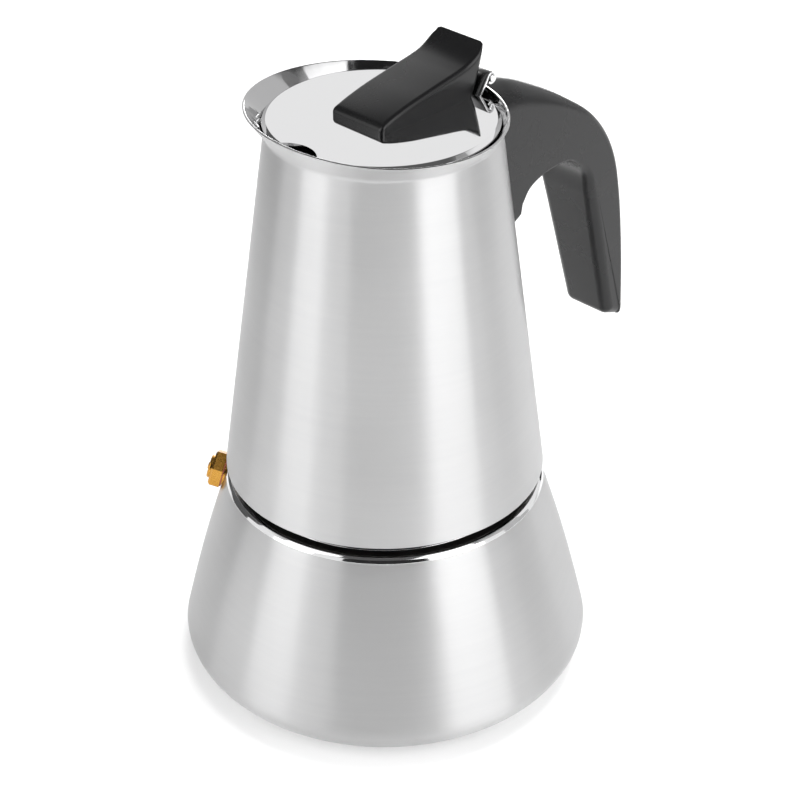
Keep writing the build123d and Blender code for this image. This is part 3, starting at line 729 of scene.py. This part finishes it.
def make_lid():
    """Plate with a pouring notch, its hinge tab rolled round the pin on both sides, and the strap."""
    centre_x = -0.5
    radius = 27.25
    flat = radius - 1.0
    edge_top = LID_TOP - 0.8
    corners = [
        (0, LID_TOP - WALL), (flat, LID_TOP - WALL), (radius - 0.05, edge_top - WALL),
        (radius, edge_top), (flat, LID_TOP), (flat - 0.8, LID_TOP), (22.0, LID_TOP), (0, LID_TOP),
    ]
    outline = rounded(corners, [0, 0.5, 0.2, 0.25, 0.5, 0, 0, 0])
    lid = add_mesh("lid_plate", *lathe(outline, FINE_AROUND), MIRROR, "lid", "mirror_steel", ["lid"])
    for vertex in lid.data.vertices:
        vertex.co.x += centre_x * MM
    cut_low = LID_TOP - 3
    cut_high = LID_TOP + 3
    notch = circle(centre_x=-31.0, radius=7.5, count=96)
    tab_room = rectangle(low_x=TAB_FOOT_X, high_x=40, half_width=11.7)
    cut(lid, [post(notch, cut_low, cut_high), post(tab_room, cut_low, cut_high)])
    bevel(lid, 0.12)
    even_normals(lid)

    pin = Vector((HINGE_X, HINGE_Z))
    roll_radius = 1.25
    gap = 3.2
    path = roll(Vector((TAB_FOOT_X - 0.35, LID_TOP - 0.4)), pin, roll_radius, 290, True)
    path.insert(0, Vector((TAB_FOOT_X - 1.6, LID_TOP - 0.45)))
    strip = sheet_strip(path, SHEET)
    for side, name in ((-1, "hinge_tab_near"), (1, "hinge_tab_far")):
        verts, faces = prism(strip, (TAB_HALF_WIDTH - gap) / 2)
        shift = side * (TAB_HALF_WIDTH + gap) / 2
        verts = [(x, y + shift, z) for x, y, z in verts]
        tab = add_mesh(name, verts, faces, MIRROR, "lid", "mirror_steel", ["lid"])
        bevel(tab, 0.1)
    web_points = 5
    web = prism(sheet_strip(path[:web_points], SHEET), gap + 0.1)
    web_piece = add_mesh("hinge_tab_web", *web, MIRROR, "lid", "mirror_steel", ["lid"])
    bevel(web_piece, 0.05)

    leg_x = 28.15
    strap_half_width = 2.9
    strap_path = [Vector((wall_x(z), z)) for z in (130.0, 139.0)]
    strap_path += [Vector((leg_x, 147.0)), Vector((leg_x, 151.0)), Vector((27.5, 151.9))]
    strap_path += roll(Vector((27.42, 152.4)), pin, roll_radius, 270, False)
    strap = prism(sheet_strip(strap_path, SHEET), strap_half_width)
    strap_piece = add_mesh("hinge_strap", *strap, POLISHED, "jug", "polished_steel", ["hinge_bracket"])
    bevel(strap_piece, 0.1)


def wall_x(z):
    """Middle of the strap's leg on the jug's wall."""
    return cone_radius(z) + 0.5


# --------------------------------------------------------- knob and handle
def rounded_slab(outline, half_width, rounding):
    """Points and faces of a slab about Y = 0 whose side edges are rounded by a radius of their own."""
    steps = 8
    count = len(outline)
    rows = []
    for index, point in enumerate(outline):
        along = outline[(index + 1) % count] - outline[index - 1]
        outward = Vector((along.y, -along.x)).normalized()
        radius = rounding(point)
        half = half_width((point - outward * radius).y)
        section = []
        for step in range(steps + 1):
            angle = math.pi / 2 * (1 - step / steps)
            inset = radius * (1 - math.cos(angle))
            place = point - outward * inset
            section.append((place.x, -half + radius * (1 - math.sin(angle)), place.y))
        rows.append(section + [(x, -y, z) for x, y, z in section[::-1]])
    width = len(rows[0])
    verts = [vertex for row in rows for vertex in row]
    faces = []
    for index in range(count):
        following = (index + 1) % count
        for step in range(width - 1):
            faces.append((
                index * width + step, following * width + step,
                following * width + step + 1, index * width + step + 1,
            ))
    faces.append(tuple(index * width for index in range(count)))
    faces.append(tuple(index * width + width - 1 for index in range(count - 1, -1, -1)))
    return verts, faces


def corner_inset(depth, radius):
    """How far a rounded corner stands back at a depth from the face behind it."""
    if depth >= radius:
        return 0.0
    return radius - math.sqrt(max(0.0, radius ** 2 - (radius - max(0.0, depth)) ** 2))


def make_knob():
    """Black wedge built from sections along X: low at the front, swept up to a crest over the hinge."""
    top = spline([
        (-8.6, 150.9), (-8.1, 151.6), (-6.8, 152.4), (-3.4, 153.5), (2.0, 154.8), (8.0, 155.9), (13.0, 156.8),
        (17.0, 157.5), (20.0, 158.3), (22.8, 159.8), (25.5, 161.8),
    ], 10)
    back = [(-8.6, LID_TOP), (21.6, LID_TOP), (23.2, 153.4), (24.3, 157.0), (25.5, 161.5)]
    back_at = [(z, x) for x, z in back[1:]]
    half_width = 8.1
    nose_round = 1.1
    nose_round_x = -7.5
    corner = 1.8
    side_steps = 12
    crown_steps = 8
    verts = []
    for x, high in top:
        low = between(back, x)
        nose = max(0.0, nose_round_x - x)
        half = half_width - (nose_round - math.sqrt(max(0.0, nose_round ** 2 - nose ** 2)))
        crown = min(1.25, (high - low) * 0.45)
        side = []
        for step in range(side_steps):
            z = low + (high - crown - low) * (step / (side_steps - 1)) ** 1.4
            side.append((half - corner_inset(between(back_at, z) - x, corner), z))
        for step in range(1, crown_steps + 1):
            angle = math.pi / 2 * step / crown_steps
            z = high - crown + crown * math.sin(angle)
            inset = corner_inset(between(back_at, z) - x, corner)
            side.append((half - inset - crown + crown * math.cos(angle), z))
        verts.extend((x, y, z) for y, z in side)
        verts.extend((x, -y, z) for y, z in side[::-1])
    ring = 2 * (side_steps + crown_steps)
    faces = [tuple(range(ring)), tuple(range(len(verts) - 1, len(verts) - ring - 1, -1))]
    for station in range(len(top) - 1):
        for index in range(ring):
            following = (index + 1) % ring
            faces.append((
                station * ring + index, station * ring + following,
                (station + 1) * ring + following, (station + 1) * ring + index,
            ))
    add_mesh("knob_wedge", verts, faces, KNOB_PLASTIC, "lid", "knob_plastic", ["knob"], 55)


def resample(outline, gap):
    """The closed outline with points no farther apart than a gap."""
    result = []
    for index, point in enumerate(outline):
        following = outline[(index + 1) % len(outline)]
        pieces = max(1, math.ceil((following - point).length / gap))
        result.extend(point.lerp(following, piece / pieces) for piece in range(pieces))
    return result


def handle_rounding(point):
    """Edge radius along arm and grip."""
    x, z = point
    if z > between(ARM_MIDDLE, x):
        return between(UPPER_EDGE, x)
    if x > GRIP_EDGE_X:
        return between(GRIP_EDGE, x)
    return between(ARCH_EDGE, x)


def handle_half_width(z):
    """Half the handle's width, which narrows down the grip."""
    return GRIP_HALF_WIDTH + (ARM_HALF_WIDTH - GRIP_HALF_WIDTH) * (z - GRIP_END_Z) / (ARM_TOP_Z - GRIP_END_Z)


def make_handle():
    """Moulded arm and grip, cut to fit the jug's wall, with a well for the screw and a slot for the strap."""
    crown = [(28.0, 150.5), (36.0, 149.0), (43.0, 145.9), (53.8, 139.6), (65.6, 130.8)]
    back = [(73.8, 119.6), (78.3, 106.0), (81.9, 86.0), (84.4, 64.9)]
    arch = [(65.8, 107.5), (63.2, 115.4), (57.0, 121.0), (49.0, 121.6), (42.3, 119.6), (39.4, 116.0)]
    arm_foot = [(39.0, 113.2), (28.0, 106.6), (12.0, 106.6), (12.0, 150.5)]
    grip_foot = Vector((77.3, 67.8))
    outer = spline(crown + back)
    inner = spline(arch)
    outer = outer[:-4] + [outer[-1]]
    corners = outer + [grip_foot] + inner
    corners += [Vector(p) for p in arm_foot]
    radii = [0] * len(corners)
    radii[len(outer) - 1] = 3.0
    radii[len(outer)] = 3.2
    outline = resample(rounded(corners, radii, 10), 0.7)
    verts, faces = rounded_slab(outline[::-1], handle_half_width, handle_rounding)
    sharp = 50
    handle = add_mesh(
        "handle_moulding", verts, faces, HANDLE_PLASTIC, "jug", "black_plastic", ["handle"], sharp,
    )
    wall_gap = 0.1
    room_x = 28.9
    above = 156
    jug_room = [
        (0, 100), (cone_radius(100) + wall_gap, 100), (cone_radius(145) + wall_gap, 145),
        (room_x, 146.5), (room_x, above), (0, above),
    ]
    strap_slot = rectangle(low_x=20, high_x=31.3, half_width=3.3)
    screw_well = circle(centre_x=46, radius=3.6, count=48)
    cutters = [throwaway(*lathe([Vector(p) for p in jug_room]))]
    cutters.append(post(strap_slot, 128.5, above))
    cutters.append(post(screw_well, 110, 123.2))
    cut(handle, cutters)
    shade(handle.data, sharp)
    even_normals(handle)


# ------------------------------------------------------------------- stage
def make_stage():
    """Pale floor, white sky that dims overhead, soft lights, cards and the photograph's camera angle."""
    floor_material, _, shader = new_material("stage_floor")
    shader.inputs["Base Color"].default_value = (0.93, 0.93, 0.93, 1)
    shader.inputs["Roughness"].default_value = 0.6
    shader.inputs["Specular IOR Level"].default_value = 0.2
    mesh = bpy.data.meshes.new("stage_floor")
    half = 6.0
    corners = [(-half, -half, 0), (half, -half, 0), (half, half, 0), (-half, half, 0)]
    mesh.from_pydata(corners, [], [(0, 1, 2, 3)])
    floor = bpy.data.objects.new("stage_floor", mesh)
    mesh.materials.append(floor_material)
    bpy.context.scene.collection.objects.link(floor)
    floor.location.z = -0.00005

    world = bpy.data.worlds.new("studio")
    bpy.context.scene.world = world
    world.use_nodes = True
    sky = world.node_tree
    background = sky.nodes["Background"]
    background.inputs["Color"].default_value = (1, 1, 1, 1)
    direction = sky.nodes.new("ShaderNodeTexCoord")
    parts = sky.nodes.new("ShaderNodeSeparateXYZ")
    fall = sky.nodes.new("ShaderNodeMapRange")
    fall.interpolation_type = "SMOOTHSTEP"
    fall.inputs["From Min"].default_value = 0.62
    fall.inputs["From Max"].default_value = 0.82
    fall.inputs["To Min"].default_value = 1.0
    fall.inputs["To Max"].default_value = 0.12
    sky.links.new(direction.outputs["Generated"], parts.inputs["Vector"])
    sky.links.new(parts.outputs["Z"], fall.inputs["Value"])
    sky.links.new(fall.outputs["Result"], background.inputs["Strength"])

    softbox("key_left", azimuth=161, distance=0.8, height=0.55, width=0.46, tall=1.1, power=2.3)
    softbox("key_right", azimuth=275, distance=0.8, height=0.55, width=0.60, tall=1.1, power=3.7)
    overhead = softbox("overhead", azimuth=15, distance=0.5, height=1.4, width=0.8, tall=0.8, power=15.0)
    overhead.visible_glossy = False
    fill = softbox("fill", azimuth=225, distance=0.7, height=0.2, width=0.8, tall=0.35, power=5.0)
    fill.visible_glossy = False
    behind = softbox("behind", azimuth=37, distance=1.0, height=0.2, width=0.3, tall=0.4, power=2.6)
    behind.visible_diffuse = False
    card("card_front", azimuth=225, distance=1.0, width=1.1, low=0.18, high=1.9, grey=0.02)
    card("card_left", azimuth=100, distance=1.2, width=1.0, low=0.0, high=1.6, grey=0.08)
    card("card_right", azimuth=322, distance=1.2, width=0.5, low=0.0, high=1.6, grey=0.4)
    card("card_handle_side", azimuth=2, distance=1.3, width=0.14, low=0.0, high=0.3, grey=0.02)
    card("card_far_side", azimuth=17, distance=1.3, width=0.12, low=0.0, high=0.3, grey=0.02)

    lens = bpy.data.cameras.new("photo_view")
    lens.lens = 90.3
    lens.sensor_width = 36.0
    lens.clip_start = 0.01
    camera = bpy.data.objects.new("photo_view", lens)
    bpy.context.scene.collection.objects.link(camera)
    heading = math.radians(44.475)
    dip = math.radians(32.88)
    ahead = Vector((math.cos(heading) * math.cos(dip), math.sin(heading) * math.cos(dip), -math.sin(dip)))
    camera.location = (-0.29447, -0.29447, 0.34212)
    camera.rotation_euler = ahead.to_track_quat("-Z", "Y").to_euler()
    bpy.context.scene.camera = camera
    bpy.context.scene.view_settings.view_transform = "Standard"


def softbox(name, azimuth, distance, height, width, tall, power):
    """A rectangular light aimed at the middle of the pot; metres, degrees and watts."""
    light = bpy.data.lights.new(name, "AREA")
    light.shape = "RECTANGLE"
    light.size = width
    light.size_y = tall
    light.energy = power
    lamp = bpy.data.objects.new(name, light)
    bpy.context.scene.collection.objects.link(lamp)
    turn = math.radians(azimuth)
    lamp.location = (distance * math.cos(turn), distance * math.sin(turn), height)
    aim = Vector((0, 0, 0.08)) - lamp.location
    lamp.rotation_euler = aim.to_track_quat("-Z", "Y").to_euler()
    return lamp


def card(name, azimuth, distance, width, low, high, grey):
    """An upright grey card, hidden from the camera, that steel and plastic reflect."""
    material, _, shader = new_material(name)
    shader.inputs["Base Color"].default_value = (grey, grey, grey, 1)
    shader.inputs["Roughness"].default_value = 1.0
    shader.inputs["Specular IOR Level"].default_value = 0.0
    mesh = bpy.data.meshes.new(name)
    half = width / 2
    corners = [(0, -half, low), (0, half, low), (0, half, high), (0, -half, high)]
    mesh.from_pydata(corners, [], [(0, 1, 2, 3)])
    mesh.materials.append(material)
    board = bpy.data.objects.new(name, mesh)
    bpy.context.scene.collection.objects.link(board)
    turn = math.radians(azimuth)
    board.location = (distance * math.cos(turn), distance * math.sin(turn), 0)
    board.rotation_euler.z = turn
    board.visible_camera = False
    board.visible_diffuse = False
    board.visible_shadow = False


def paint_nodes():
    """Materials of all CAD nodes, by the slots in the record; replaced nodes aren't seen."""
    paint = {
        "satin_steel": SATIN, "polished_steel": POLISHED, "mirror_steel": MIRROR, "inner_steel": INNER,
        "fastener_steel": FASTENER, "valve_brass": BRASS, "valve_fibre": FIBRE, "silicone": SILICONE,
        "black_plastic": HANDLE_PLASTIC, "knob_plastic": KNOB_PLASTIC,
    }
    for row in frame["record"]["subparts"]:
        node = frame["nodes"][row["node"]]
        node.data.materials.clear()
        node.data.materials.append(paint[row["material_slot"]])


paint_nodes()
make_boiler()
make_jug()
make_lid()
make_knob()
make_handle()
make_stage()
